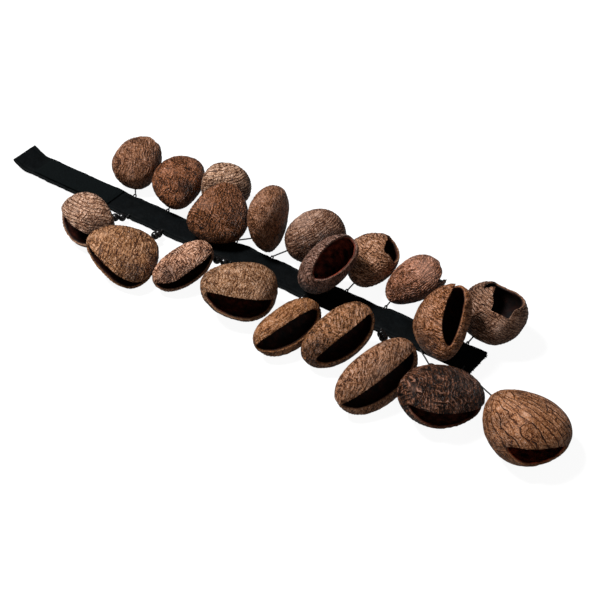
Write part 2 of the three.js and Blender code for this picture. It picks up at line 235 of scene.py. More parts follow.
# One row for each shell. at: centre. size: along the mouth, from back to mouth, thickness. turn: heading
# of the mouth, tilt of its long axis, lift of the mouth (degrees). form: widening to the mouth, one end
# fatter, bow of the ends, height of the upper side. mouth: half length, lower lip, upper lip, shift;
# those that turn away from the camera are alike.
HIDDEN_MOUTH = (0.86, 0.5, 0.36, 0)
SHELLS = {
    "near_01": dict(at=(-78.5, -37.5, 13.7), size=(38, 30, 27), turn=(248, 9, -2),
                    form=(-0.02, 0.02, 0, 0.02), mouth=(0.86, 0.5, 0.34, -0.02)),
    "near_02": dict(at=(-40.3, -48.5, 14.1), size=(42.5, 39.5, 20), turn=(276, 23, -2),
                    form=(0.2, -0.18, 0.02, 0.04), mouth=(0.88, 0.62, 0.22, -0.02)),
    "near_03": dict(at=(-13.6, 9, 17.4), size=(37.5, 35, 24), turn=(171, 31, 19),
                    form=(0.24, -0.12, 0.04, 0.02), mouth=(0.82, 0.6, 0.44, 0)),
    "near_04": dict(at=(-5.4, -37, 12.8), size=(40, 22, 21.5), turn=(341, -16, 1),
                    form=(-0.06, 0.02, 0, -0.06), mouth=(0.94, 0.54, 0.34, 0.06)),
    "near_05": dict(at=(37.8, -41, 18), size=(43.5, 34.5, 31), turn=(309, 8, 8),
                    form=(-0.1, -0.16, -0.12, -0.06), mouth=(0.88, 0.64, 0.34, 0)),
    "near_06": dict(at=(73.5, -46, 14.4), size=(43, 22, 25), turn=(343, -11, 21),
                    form=(0.06, -0.04, -0.1, -0.16), mouth=(0.94, 0.6, 0.48, 0.08)),
    "near_07": dict(at=(102.2, -38, 16.1), size=(45.5, 26, 26.5), turn=(339, -22, 18),
                    form=(-0.04, -0.04, -0.1, -0.06), mouth=(0.88, 0.56, 0.44, -0.04)),
    "near_08": dict(at=(134.9, -52.5, 16.8), size=(51, 22, 30.5), turn=(343, -15, 25),
                    form=(0.16, 0, -0.06, -0.12), mouth=(0.96, 0.7, 0.08, 0.04)),
    "near_09": dict(at=(172.1, -45, 14.1), size=(47.5, 34.5, 28), turn=(324, 17, -5),
                    form=(-0.12, 0.14, 0.02, 0.06), mouth=(0.96, 0.52, 0.4, 0)),
    "near_10": dict(at=(217.8, -39, 15.9), size=(45, 44.5, 30), turn=(319, 13, 3),
                    form=(0.02, 0.18, -0.02, -0.06), mouth=(0.72, 0.52, 0.28, 0.1)),
    "far_01": dict(at=(-93.5, 25, 15), size=(29.5, 36.5, 27), turn=(106, -5, 13),
                   form=(-0.06, 0.1, -0.02, -0.02)),
    "far_02": dict(at=(-61.5, 25, 12.3), size=(30.5, 45.5, 22), turn=(111, -20, -2),
                   form=(0.1, 0.18, -0.08, 0.08)),
    "far_03": dict(at=(-32.5, 37.5, 14), size=(31, 28.5, 28), turn=(115, 1, 2),
                   form=(-0.02, -0.08, -0.02, 0.02)),
    "far_04": dict(at=(15.5, 17.5, 20.6), size=(41, 34.5, 20), turn=(94, -87, -8),
                   form=(0.02, -0.24, 0.02, -0.08)),
    "far_05": dict(at=(41.5, 26.5, 14.9), size=(37, 28.5, 30.5), turn=(146, 10, -1),
                   form=(-0.02, 0.06, -0.02, 0.04)),
    "far_06": dict(at=(68, -0.5, 23.1), size=(37.5, 43.5, 24.5), turn=(357, -9, 56),
                   form=(0.1, -0.04, 0.18, 0), mouth=(0.9, 0.7, 0.64, 0.06)),
    "far_07": dict(at=(78, 29.5, 13.4), size=(33, 33, 23), turn=(44, -9, 32),
                   form=(0, 0, -0.24, -0.04), mouth=(0.56, 0.44, 0.66, 0.06)),
    "far_08": dict(at=(110.5, 26.5, 13), size=(35.5, 36.5, 23), turn=(48, 32, 22),
                   form=(0.2, 0.02, 0.02, 0.16), mouth=(0.76, 0.6, 0.5, -0.02)),
    "far_09": dict(at=(145, -5, 22.5), size=(39.5, 45.5, 23.5), turn=(19, -38, 57),
                   form=(0.3, -0.1, 0.26, 0.02), mouth=(0.9, 0.2, 0.68, -0.18)),
    "far_10": dict(at=(159, 25, 17.4), size=(45, 34, 28), turn=(64, 21, 47),
                   form=(0.06, 0.1, 0.02, -0.18), mouth=(0.64, 0.46, 0.78, 0.3)),
}

# Ragged places of a few rims: turn round the mouth and width in degrees, and share that the rim moves out.
JAGS = {
    "near_01": ((105, 60, 0.6),),
    "near_02": ((100, 60, 0.9),),
    "far_01": ((72, 14, 0.8),),
    "far_10": ((35, 22, 0.3), (100, 12, -0.22), (130, 14, 0.12), (160, 10, -0.1)),
    "far_07": ((60, 18, 0.15), (110, 14, -0.12)),
    "near_04": ((30, 16, 0.35), (60, 12, -0.12)),
    "far_08": ((345, 20, 0.35), (40, 20, 0.1), (100, 15, -0.1)),
}

# How each coat looks. light and dark: colours of crests and grooves. way: the way that the grooves run in
# the camera's picture, in degrees from its right. unit: millimetres between grooves. lines: strength of the
# grooves, below 0 for raised pale veins. net: share of a second set that crosses the first. stray: how far
# the grooves wander. crest_glint: strength of the painted glints on the crests. inner: colour inside. stem:
# count of grooves that fan out from the stem. plain: share of the grain left out. width: breadth of the
# grooves. worn: share of the grooves left where the coat is worn. cracks: strength of long dark cracks.
# stains_and_painted_light: places in the picture, in millimetres to the right and up from the middle, with a
# radius and an amount of darkening, below 0 for a paler place. The paler places are painted highlights; the
# darker ones are dark patches of the coat and, low on a shell, painted shade.
COATS = {
    "near_01": dict(light="b08a70", dark="42200e", way=-14, unit=1.6, lines=1.1, net=0.1, stray=0.25,
                    worn=0.7, inner="3c160c", stains_and_painted_light=((9, -6, 7, 0.25), (-5, 6, 8, -0.2))),
    "near_02": dict(light="a2744e", dark="361604", way=60, unit=1.8, lines=0.8, net=0.5, stray=0.6,
                    width=0.22, cracks=0.5, stains_and_painted_light=((9, -10, 8, 0.25), (-4, 8, 9, -0.15))),
    "near_03": dict(light="845232", dark="200a00", way=70, unit=1.5, lines=0.8, net=0.5, stray=0.8,
                    crest_glint=0.5, cracks=0.5, stains_and_painted_light=((8, -5, 7, 0.35), (-7, 8, 7, -0.35), (0, -9, 5, -0.2))),
    "near_04": dict(light="b8886a", dark="34160a", way=50, unit=1.5, lines=0.9, net=0.6, stray=1,
                    crest_glint=0.7, stains_and_painted_light=((-9, -5, 6, 0.55), (5, 6, 6, -0.2))),
    "near_05": dict(light="9a7252", dark="3c1c06", way=58, unit=1.5, lines=0.5, net=0.5, stray=0.8,
                    crest_glint=0.5, inner="5a2010", stains_and_painted_light=((-12, 2, 7, 0.15), (3, 9, 8, -0.15))),
    "near_06": dict(light="96663f", dark="44220a", way=35, unit=1.4, lines=0.3, net=0.4, stray=0.8,
                    crest_glint=0.4),
    "near_07": dict(light="966642", dark="200a00", way=76, unit=1.7, lines=0.4, net=0.2, stray=0.8,
                    crest_glint=0.8, stains_and_painted_light=((-11, -8, 10, 0.5),)),
    "near_08": dict(light="986a4a", dark="301404", way=76, unit=1.8, lines=0.3, net=0.2, stray=0.7,
                    crest_glint=1.0, stains_and_painted_light=((-1, 3, 9, -0.25), (-12, 2, 6, 0.2))),
    "near_09": dict(light="84563e", dark="120602", way=86, unit=2.0, lines=-1.1, net=0.3, stray=0.8,
                    width=0.24, inner="6a3626"),
    "near_10": dict(light="9e6c48", dark="44200a", way=-40, unit=2.2, lines=1.1, net=0, stray=0.25,
                    stem=25, plain=0.3, width=0.16, worn=0.75, inner="9a3c22",
                    stains_and_painted_light=((-14, -7, 9, 0.3),)),
    "far_01": dict(light="8a5e42", dark="361806", way=80, unit=1.8, lines=0.8, net=0.2, stray=0.7,
                   crest_glint=0.3),
    "far_02": dict(light="865232", dark="200c02", way=65, unit=1.7, lines=0.8, net=0.5, stray=0.9,
                   stains_and_painted_light=((7, -3, 5, 0.6), (-6, 6, 6, -0.25), (11, 8, 5, -0.3))),
    "far_03": dict(light="b48e72", dark="341606", way=15, unit=1.6, lines=1.1, net=0.1, stray=0.3,
                   worn=0.7),
    "far_04": dict(light="8a5e42", dark="361a06", way=75, unit=1.4, lines=0.5, net=0.6, stray=0.8,
                   crest_glint=0.3, stains_and_painted_light=((-3, 10, 7, -0.25),)),
    "far_05": dict(light="8e6a54", dark="2c1004", way=32, unit=1.5, lines=0.7, net=0.1, stray=0.35,
                   worn=0.5, stains_and_painted_light=((-6, 10, 8, -0.5), (3, -6, 9, 0.35))),
    "far_06": dict(light="846050", dark="180702", way=120, unit=1.5, lines=0.6, net=0.3, stray=0.8,
                   crest_glint=0.5, inner="8a3a26"),
    "far_07": dict(light="a67656", dark="301404", way=-22, unit=1.4, lines=0.8, net=0.3, stray=0.6,
                   crest_glint=0.4),
    "far_08": dict(light="9a664c", dark="240a00", way=35, unit=1.4, lines=0.6, net=0.3, stray=0.8,
                   stains_and_painted_light=((4, 7, 8, -0.7), (-5, -10, 10, 0.4))),
    "far_09": dict(light="a06a46", dark="321200", way=-18, unit=1.6, lines=0.7, net=0.2, stray=0.7,
                   crest_glint=0.5, stains_and_painted_light=((-8, -9, 6, 0.5), (-7, 4, 6, -0.35))),
    "far_10": dict(light="967058", dark="341808", way=-26, unit=1.6, lines=1.0, net=0.1, stray=0.35,
                   worn=0.5, inner="1e0a06", stains_and_painted_light=((2, -8, 8, -0.2),)),
}

# What a coat has where its row doesn't say
PLAIN_COAT = dict(crest_glint=0, inner="3a160c", stem=0, plain=0, width=0.3, worn=0.15, cracks=0.3, stains_and_painted_light=())

# What the frame says of joints and ties
joint_of = {joint["child"]: joint for joint in frame["joints"]}
tie_of = {label: Vector(joint_of["rattle_" + label]["pos_m"]) for label in SHELLS}


# Repeatable noise

def lattice_vectors(cells, seed):
    """A repeatable random vector for each whole-numbered cell."""
    mixed = cells @ np.array([73856093, 19349663, 83492791]) + seed * 6542989
    parts = []
    for k in range(3):
        h = (mixed * 2654435761 + k * 40503) & 0xFFFFFFFF
        h = ((h ^ (h >> 15)) * 2246822519) & 0xFFFFFFFF
        h = ((h ^ (h >> 13)) * 3266489917) & 0xFFFFFFFF
        parts.append((h ^ (h >> 16)) / 0x7FFFFFFF - 1)
    return np.stack(parts, 1)


def noise(points, seed):
    """Smooth repeatable noise from about -1 to 1 at each row of points."""
    cells = np.floor(points).astype(np.int64)
    inside = points - cells
    fade = inside ** 3 * (inside * (inside * 6 - 15) + 10)
    total = np.zeros(len(points))
    for corner in np.ndindex(2, 2, 2):
        step = np.array(corner)
        weight = np.prod(np.where(step, fade, 1 - fade), 1)
        total += weight * np.sum(lattice_vectors(cells + step, seed) * (inside - step), 1)
    return 1.5 * total


def layered(points, layers, seed=0):
    """Sum of noises, each with its wave length, its height and a number added to the seed."""
    total = 0
    for length, height, extra in layers:
        total = total + height * noise(points / length, seed + extra)
    return total


# Vectors

def ease(values, low=0, high=1):
    """A smooth step from 0 at low to 1 at high."""
    t = np.clip((values - low) / (high - low), 0, 1)
    return t * t * (3 - 2 * t)


def unit(vector):
    return vector / np.linalg.norm(vector)


def unit_rows(vectors):
    return vectors / np.linalg.norm(vectors, axis=1)[:, None]


def on_axis(values, axis):
    """Points along one axis."""
    points = np.zeros((len(values), 3))
    points[:, axis] = values
    return points


def signed_power(values, power):
    return np.sign(values) * np.abs(values) ** power


def ring_angles(count):
    return np.arange(count) / count * TURN


# Meshes

def new_piece(name, points, faces, material, body):
    """A smooth mesh piece from points in millimetres, riding on a body."""
    mesh = bpy.data.meshes.new(name)
    mesh.from_pydata([tuple(p) for p in np.asarray(points) * MM], [], faces)
    mesh.polygons.foreach_set("use_smooth", [True] * len(mesh.polygons))
    mesh.materials.append(material)
    piece = bpy.data.objects.new(name, mesh)
    bpy.context.scene.collection.objects.link(piece)
    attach(piece, body)
    return piece


def point_values(piece, name, values):
    """A number or a vector at each point of a piece, for its material."""
    values = np.asarray(values, np.float32)
    kind, field = ("FLOAT", "value") if values.ndim == 1 else ("FLOAT_VECTOR", "vector")
    layer = piece.data.attributes.new(name, kind, "POINT")
    layer.data.foreach_set(field, values.ravel())


def band_faces(first, second, count):
    """Quads between two rings of count points, numbered from first and from second."""
    quads = []
    for j in range(count):
        k = (j + 1) % count
        quads.append((first + j, first + k, second + k, second + j))
    return quads


def ring_faces(rings, count, first=0):
    """Quads between rings of count points each, numbered one ring after another."""
    faces = []
    for i in range(rings - 1):
        start = first + i * count
        faces += band_faces(start, start + count, count)
    return faces


def fan_faces(first, pole, count):
    """Triangles from a ring of count points to one point."""
    return [(first + j, first + (j + 1) % count, pole) for j in range(count)]


def flipped(faces):
    return [face[::-1] for face in faces]


def end_face(first, count):
    """One face over a ring of count points."""
    return tuple(range(first, first + count))


def across_path(path):
    """Two directions across a path, at each of its points."""
    tangent = unit_rows(np.gradient(path, axis=0))
    side = unit_rows(np.cross(tangent, NO_PATH))
    return side, np.cross(tangent, side)


def add_tube(points, faces, path, radius, sides):
    """Adds a tube along a path, with its ends closed, to a list of points and a list of faces."""
    side, other = across_path(path)
    a = ring_angles(sides)
    ring = side[:, None] * np.cos(a)[None, :, None] + other[:, None] * np.sin(a)[None, :, None]
    first = sum(len(block) for block in points)
    last = first + sides * (len(path) - 1)
    points.append((path[:, None] + radius * ring).reshape(-1, 3))
    faces += ring_faces(len(path), sides, first)
    faces.append(end_face(first, sides)[::-1])
    faces.append(end_face(last, sides))


# Materials

def linear(colour):
    """A colour written as six hex digits, as linear light."""
    values = [int(colour[i:i + 2], 16) / 255 for i in (0, 2, 4)]
    return [v / 12.92 if v <= 0.04045 else ((v + 0.055) / 1.055) ** 2.4 for v in values] + [1]


def grey(level):
    return level, level, level, 1


def centred(source, weight):
    """Two terms for a total: a noise that is about 0.5 on average, weighted and brought down to 0."""
    return (source, weight), -0.5 * weight


class Nodes:
    """A short way to write a material's node tree."""

    def __init__(self, name):
        self.material = bpy.data.materials.new(name)
        self.material.use_nodes = True
        self.tree = self.material.node_tree
        self.shader = self.tree.nodes["Principled BSDF"]

    def add(self, kind, inputs=None, **settings):
        """A new node with these settings, and with inputs that are linked or set."""
        node = self.tree.nodes.new("ShaderNode" + kind)
        for key, value in settings.items():
            setattr(node, key, value)
        for key, source in (inputs or {}).items():
            self.value(source, node.inputs[key])
        return node

    def link(self, source, target):
        self.tree.links.new(source, target)

    def value(self, source, target):
        """Links an output to an input, or sets the input to a number or colour."""
        if hasattr(source, "is_output"):
            self.link(source, target)
        else:
            target.default_value = source

    def math(self, operation, a, b):
        return self.add("Math", {0: a, 1: b}, operation=operation).outputs[0]

    def product(self, first, *others):
        for other in others:
            first = self.math("MULTIPLY", first, other)
        return first

    def total(self, *terms):
        """Sum of weighted sources, each a pair of a source and its weight, and plain numbers."""
        result = 0.0
        for term in terms:
            if isinstance(term, tuple):
                term = self.product(*term)
            result = self.math("ADD", result, term)
        return result

    def mix(self, share, a, b, blend="MIX"):
        node = self.add("Mix", {0: share, 6: a, 7: b}, data_type="RGBA", blend_type=blend)
        return node.outputs[2]

    def ramp(self, source, *stops):
        node = self.add("ValToRGB", {0: source})
        while len(node.color_ramp.elements) < len(stops):
            node.color_ramp.elements.new(1)
        for element, (place, colour) in zip(node.color_ramp.elements, stops):
            element.position = place
            element.color = list(colour)
        return node.outputs[0]

    def attribute(self, name, output="Fac"):
        return self.add("Attribute", attribute_name=name).outputs[output]

    def noise(self, scale, detail, rough, stretch=None, place=None):
        place = place or self.add("TexCoord").outputs["Object"]
        if stretch:
            place = self.add("Mapping", {"Vector": place, "Scale": stretch}).outputs["Vector"]
        inputs = {"Vector": place, "Scale": scale, "Detail": detail, "Roughness": rough}
        return self.add("TexNoise", inputs).outputs["Fac"]

    def groove(self, source, middle, width):
        """1 where a source is at its middle, falling to 0 at the width to either side."""
        away = self.math("ABSOLUTE", self.math("SUBTRACT", source, middle), 0.0)
        inputs = {"Value": away, "From Min": 0, "From Max": width, "To Min": 1, "To Max": 0}
        return self.add("MapRange", inputs, interpolation_type="SMOOTHSTEP").outputs["Result"]

    def cracks(self, scale, width, place):
        """1 along the borders of a crackle's cells."""
        node = self.add("TexVoronoi", {"Vector": place, "Scale": scale}, feature="DISTANCE_TO_EDGE")
        return self.groove(node.outputs["Distance"], 0.0, width)

    def bump(self, height, strength, distance):
        """Bumps of a height in millimetres."""
        inputs = {"Height": height, "Strength": strength, "Distance": distance * MM}
        node = self.add("Bump", inputs)
        self.link(node.outputs["Normal"], self.shader.inputs["Normal"])

    def finish(self, colour, roughness, specular):
        self.value(colour, self.shader.inputs["Base Color"])
        self.value(roughness, self.shader.inputs["Roughness"])
        self.shader.inputs["Specular IOR Level"].default_value = specular
        return self.material


def coat_surface(n, coat, mottle, grit):
    """Height and tone of a coat: streaks and cracks along its grain, and two sets of grooves."""
    grain = n.attribute("grain", "Vector")
    streak = n.noise(*STREAKS, place=grain)
    crack = n.cracks(*CRACKS, grain)
    split = n.product(n.cracks(*SPLITS, grain), coat["cracks"])
    grainy = 1 - coat["plain"]
    height = n.total(HEIGHT["base"], *centred(streak, HEIGHT["streak"] * grainy),
                     (crack, HEIGHT["crack"] * grainy), (split, HEIGHT["split"]))
    tone = n.total(TONE["base"], *centred(streak, TONE["streak"] * grainy),
                   *centred(mottle, TONE["mottle"]), *centred(grit, TONE["grit"]),
                   (crack, TONE["crack"] * grainy), (split, TONE["split"]))
    kept = n.ramp(n.noise(*WEAR), *zip(WEAR_STOPS, (grey(coat["worn"]), grey(1))))
    broken = n.product(n.groove(mottle, *BREAKS), kept)
    counts = n.add("SeparateXYZ", {0: n.attribute("groove", "Vector")})
    share = counts.outputs["Z"]
    lines, width, stray = coat["lines"], coat["width"], STRAY * coat["stray"]
    for axis, amount in (("X", share), ("Y", n.math("SUBTRACT", 1.0, share))):
        turn = n.total(counts.outputs[axis], (mottle, stray), (streak, stray))
        wave = n.math("SINE", n.product(turn, TURN), 0.0)
        line = n.product(n.groove(wave, -1.0, width), amount, broken)
        swell = n.product(wave, amount)
        height = n.total(height, (line, HEIGHT["groove"] * lines), (swell, HEIGHT["swell"] * abs(lines)))
        tone = n.total(tone, (line, TONE["groove"] * lines))
        # painted glints: pale lines along the crests, where a coat has them
        if coat["crest_glint"]:
            glint_band = n.product(n.groove(wave, 1.0, GLINT_WIDTH), amount, broken)
            tone = n.total(tone, (glint_band, TONE["crest_glint"] * coat["crest_glint"]))
    if lines < 0:
        tone = n.total(tone, TONE["veined"])
    return height, tone


def coat_colour(n, coat, tone):
    """Colour of a shell: the skin by its tone with painted glints at its palest, patches on it with painted
    highlights and shade among them, a painted sheen on the palest patches, the lining and the broken rim.
    """
    light, dark = np.array(linear(coat["light"])), np.array(linear(coat["dark"]))
    middle = (0.5 * light ** EVEN + 0.5 * dark ** EVEN) ** (1 / EVEN)
    glint_colour = GLINT_SHARES[0] * light + GLINT_SHARES[1] * light[:3].mean()
    glint_colour[3] = 1
    # the palest stop is the painted glint colour
    skin = n.ramp(tone, *zip(SKIN_STOPS, (dark * DEEPEST, dark, middle, light, glint_colour)))
    patch = n.attribute("patch")
    # dark and pale patches darken and lighten the skin, painted highlights and painted shade among them
    skin = n.mix(1.0, skin, n.ramp(patch, *zip((0.0, 0.5, 1.0), PATCH_TINTS)), "MULTIPLY")
    # painted sheen: the palest patches are washed towards the glint colour
    skin = n.mix(n.ramp(patch, (0.6, grey(0)), (1.0, grey(PAINTED_SHEEN))), skin, list(glint_colour))
    lining = np.array(linear(coat["inner"]))
    inner = n.ramp(n.noise(*LINING_SPOTS), (0.36, linear("060303")), (0.52, lining * 0.35), (0.7, lining))
    skin = n.mix(n.attribute("inside"), skin, inner)
    rim = n.ramp(n.noise(*RIM_SPOTS), (0.3, dark), (0.7, light * 0.9))
    return n.mix(n.attribute("rim"), skin, rim)


def shell_material(label, coat):
    """Seed coat: dark grooves in a mottled skin, a near black inside and a pale broken rim."""
    n = Nodes("seed_coat_" + label)
    mottle, grit = n.noise(*MOTTLE), n.noise(*GRIT)
    height, tone = coat_surface(n, coat, mottle, grit)
    outside = n.math("SUBTRACT", 1.0, n.attribute("inside"))
    relief = n.total(height, (grit, BUMP["grit"]))
    n.bump(n.total((relief, outside), (mottle, BUMP["mottle"])), 1.0, 1)
    rough = n.total(COAT_ROUGH, (n.product(height, outside), -COAT_ROUGH))
    return n.finish(coat_colour(n, coat, tone), rough, COAT_SPECULAR)


def cloth_material():
    """Black cotton: fine threads across the strap, fuzz and soft folds."""
    n = Nodes("black_cotton")
    thread = n.noise(*COTTON_THREAD, (1, 0.25, 1))
    fuzz = n.noise(*COTTON_FUZZ)
    colour = n.ramp(n.total((thread, 0.5), (fuzz, 0.5)),
                    (0.3, linear("010202")), (0.55, linear("040607")), (0.8, linear("0a1012")))
    fold = n.noise(*COTTON_FOLD, (1, 0.6, 1))
    n.bump(n.total((thread, 0.15), (fold, 1.0)), 0.8, 2)
    return n.finish(colour, roughness=0.65, specular=0.05)


def black_material(name):
    """One of the nearly black materials, clouded and roughened by noise."""
    row = BLACKS[name]
    n = Nodes(name)
    cloud = n.noise(*row["grain"])
    colour = n.ramp(cloud, *((place, linear(shade)) for place, shade in row["shades"]))
    height = n.noise(*row["bump_grain"]) if "bump_grain" in row else cloud
    n.bump(height, *row["bump"])
    return n.finish(colour, row["rough"], row["specular"])


# Seed shells

def shell_axes(heading, tilt, lift):
    """Directions along the mouth, out of the mouth, and across it."""
    h, t, r = (math.radians(x) for x in (heading, tilt, lift))
    level = np.array([math.cos(h), math.sin(h), 0])
    along = np.array([math.cos(t) * math.sin(h), -math.cos(t) * math.cos(h), math.sin(t)])
    out = level * math.cos(r) + np.cross(along, level) * math.sin(r)
    return np.stack([along, out, np.cross(along, out)])


def on_sphere(directions):
    """Points of the unit rounded sphere in these directions."""
    length = np.sum(np.abs(directions) ** ROUNDNESS, 1) ** (-1 / ROUNDNESS)
    return directions * length[:, None]


def seed_form(points, half, form):
    """Seed from points of the unit sphere: widened to the mouth, fattened, bowed and raised."""
    egg, taper, bow, dome = form
    u, v, w = points.T
    wide, full = 1 + egg * v, 1 + taper * u
    rise = np.where(w > 0, 1 + dome, 1 - dome)
    y = v * full + bow * (u * u - BOW_LEVEL)
    return np.stack([u * wide, y, w * wide * full * rise], 1) * half


def seed_normals(points, half, form):
    """Outward directions on the seed form, from small steps along two of its tangents."""
    slope = signed_power(points, ROUNDNESS - 1)
    steep = np.abs(points[:, 1:2]) > 0.9
    first = np.cross(slope, np.where(steep, [[1.0, 0, 0]], [[0, 1.0, 0]]))
    second = np.cross(slope, first)
    small = 1e-4
    sides = []
    for way in (first, second):
        step = small * unit_rows(way)
        sides.append(seed_form(points + step, half, form) - seed_form(points - step, half, form))
    normal = np.cross(*sides)
    normal *= np.sign(np.sum(normal * points / half, 1))[:, None]
    return unit_rows(normal)


def mouth_rim(form, mouth, jags, seed):
    """Points of the unit sphere round the mouth, whose outline is two half ellipses seen from the front."""
    span, low, up, shift = mouth
    egg, taper, _, dome = form
    s = ring_angles(SHELL_ROUND)
    lip = np.where(np.sin(s) > 0, up, low)
    t = np.arctan2(np.sqrt(span / np.maximum(lip, LEAST_LIP)) * np.sin(s), np.cos(s))
    ring = np.stack([RIM_WAVES * np.cos(s), RIM_WAVES * np.sin(s), np.full(SHELL_ROUND, seed)], 1)
    wobble = 1 + RIM_WOBBLE * noise(ring, seed)
    for turn, width, share in jags:
        away = (np.degrees(t) - turn + 180) % 360 - 180
        wobble += share * np.exp(-(away / width) ** 2)
    x, z = shift + span * np.cos(t) * wobble, lip * np.sin(t) * wobble
    first_guess, rounds = 0.7, 14
    v = np.full(SHELL_ROUND, first_guess)
    for _ in range(rounds):
        u = x / (1 + egg * v)
        w = z / ((1 + egg * v) * (1 + taper * u) * np.where(z > 0, 1 + dome, 1 - dome))
        room = 1 - np.abs(u) ** ROUNDNESS - np.abs(w) ** ROUNDNESS
        v = 0.5 * v + 0.5 * np.maximum(room, 0) ** (1 / ROUNDNESS)
    return on_sphere(np.stack([u, v, w], 1))


def shell_grid(rim, rings):
    """Points of the unit sphere in rings from the rim to the back, and the back itself."""
    facing = np.arctan2(rim[:, 2], rim[:, 0])
    start = np.arctan2(np.hypot(rim[:, 0], rim[:, 2]), rim[:, 1])
    share = np.arange(rings)[:, None] / rings
    polar = start + (np.pi - start) * share
    turn = np.broadcast_to(facing, polar.shape)
    spread = np.stack([np.sin(polar) * np.cos(turn), np.cos(polar), np.sin(polar) * np.sin(turn)], 2)
    return on_sphere(np.concatenate([spread.reshape(-1, 3), [[0, -1.0, 0]]]))


def shell_faces(at_outside, at_lip, at_inside):
    """Faces of a shell: the rounded rim, and the outside and the inside, each closed at the back."""
    n = SHELL_ROUND
    faces = flipped(band_faces(0, at_outside, n)) + band_faces(0, at_lip, n)
    faces += band_faces(at_lip, at_inside, n)
    faces += flipped(ring_faces(SHELL_DOWN, n, at_outside))
    faces += flipped(fan_faces(at_outside + n * (SHELL_DOWN - 1), at_outside + n * SHELL_DOWN, n))
    faces += ring_faces(SHELL_INSIDE, n, at_inside)
    faces += fan_faces(at_inside + n * (SHELL_INSIDE - 1), at_inside + n * SHELL_INSIDE, n)
    return faces


def picture_across(way):
    """Direction across grooves that run this way in the picture, leaning so that they follow the form."""
    turn = math.radians(way)
    return unit(PICTURE_UP * math.cos(turn) - PICTURE_RIGHT * math.sin(turn) + GROOVE_LEAN * PICTURE_NEAR)


def groove_counts(coat, places, seen, seed):
    """Grooves counted across their way for two sets, and the share of the first, at each place."""
    counts = [seen @ picture_across(coat["way"] + turn) / coat["unit"] for turn in (0, CROSS_TURN)]
    if coat["stem"]:
        axis = unit(-STEM)
        side = unit(np.cross(axis, [0, 0, 1.0]))
        ray = places - STEM
        counts[0] = coat["stem"] * np.arctan2(ray @ side, ray @ np.cross(side, axis)) / TURN
    for k in range(2):
        counts[k] = counts[k] + coat["stray"] * layered(places, WANDER, seed + 2 * k)
    share = ease(1 - coat["net"] + layered(places, CROSSING, seed))
    return np.stack([counts[0], counts[1] * CROSS_UNIT, share], 1)


def grain_places(coat, seen):
    """Places in units of the grain, squeezed so that streaks there run along the grooves."""
    across = picture_across(coat["way"])
    return (seen * GRAIN_ALONG + np.outer(seen @ across, across) * GRAIN_ACROSS) / coat["unit"]


def shell_relief(places, groove, seed):
    """How far the outside stands off its smooth form: lumps, and folds along the grooves."""
    lumps = layered(places, LUMPS, seed) - LUMP_SINK
    waves = np.sin(TURN * groove[:, :2])
    share = groove[:, 2]
    return lumps + FOLD_HEIGHT * (waves[:, 0] * share + waves[:, 1] * (1 - share))


def patches_and_painted_light(coat, points, seen, seed):
    """Patches, 0 for dark to 1 for pale: clouds of the coat everywhere, and in their places painted highlights,
    dark patches of the coat and painted shade.
    """
    patch = 0.5 + layered(points, CLOUDS, seed)
    # the paler places are painted highlights; darker places low on a shell are painted shade
    for right, up, radius, amount in coat["stains_and_painted_light"]:
        away = np.hypot(seen @ PICTURE_RIGHT - right, seen @ PICTURE_UP - up) / radius
        patch -= amount * np.exp(-away ** 2) * (seen @ PICTURE_NEAR > 0)
    return np.clip(patch, 0, 1)


def make_shell(label, row, coat, seed):
    """A hollow seed with a cut mouth: rounded rim, grooved outside and rough inside."""
    half = np.array(row["size"]) / 2
    axes = shell_axes(*row["turn"])
    form = row["form"]
    rim = mouth_rim(form, row.get("mouth", HIDDEN_MOUTH), JAGS.get(label, ()), seed)

    unit_out = shell_grid(rim, SHELL_DOWN)
    places = seed_form(unit_out, half, form)
    warp = np.stack([layered(places, GRAIN_WARP, seed + k) for k in range(3)], 1)
    grain = grain_places(coat, (places + warp) @ axes)
    groove = groove_counts(coat, places, places @ axes, seed)
    relief = shell_relief(places, groove, seed)
    outside = places + seed_normals(unit_out, half, form) * relief[:, None]

    inner_half = half - SHELL_WALL
    unit_in = shell_grid(rim, SHELL_INSIDE)
    rough = layered(unit_in * half, INNER_LUMPS, seed)
    inside = seed_form(unit_in, inner_half, form) - seed_normals(unit_in, inner_half, form) * rough[:, None]

    n = SHELL_ROUND
    rim_out, rim_in = outside[:n], inside[:n]
    lip_in = rim_out + (rim_in - rim_out) * (RIM_WALL / SHELL_WALL)
    middle = (rim_out + lip_in) / 2 + RIM_SWELL * seed_normals(unit_in[:n], half, form) * [1, 0, 1]
    points = np.concatenate([middle, outside, lip_in, inside])
    seen = points @ axes
    at_lip = n + len(outside)
    at_inside = at_lip + n

    name = "seed_shell_" + label
    piece = new_piece(name + "_coat", seen + np.array(row["at"]), shell_faces(n, at_lip, at_inside),
                      shell_material(label, coat), "rattle_" + label)
    for key, values in (("grain", grain), ("groove", groove)):
        values = np.concatenate([values[:n], values, values[:n], points[at_inside:] / INNER_GRAIN])
        point_values(piece, key, values)
    number = np.arange(len(points))
    point_values(piece, "inside", number >= at_lip)
    point_values(piece, "rim", number < n)
    point_values(piece, "patch", patches_and_painted_light(coat, points, seen, seed))
    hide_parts(name)


# Strap

def strap_lift(x):
    """Height of the strap's underside: the curled tail, and the step onto the hook tape."""
    curl = CURL_RISE * np.clip((CURL_LENGTH - (x + STRAP_LENGTH / 2)) / CURL_LENGTH, 0, 1) ** 2
    return curl + HOOK_RISE * ease(x, *HOOK_RAMP)


def sewn_line(distance, line):
    """Height of a raised or sunk line at this distance from the strap's middle line."""
    place, width, height = line
    return height * np.exp(-((distance - place) / width) ** 2)


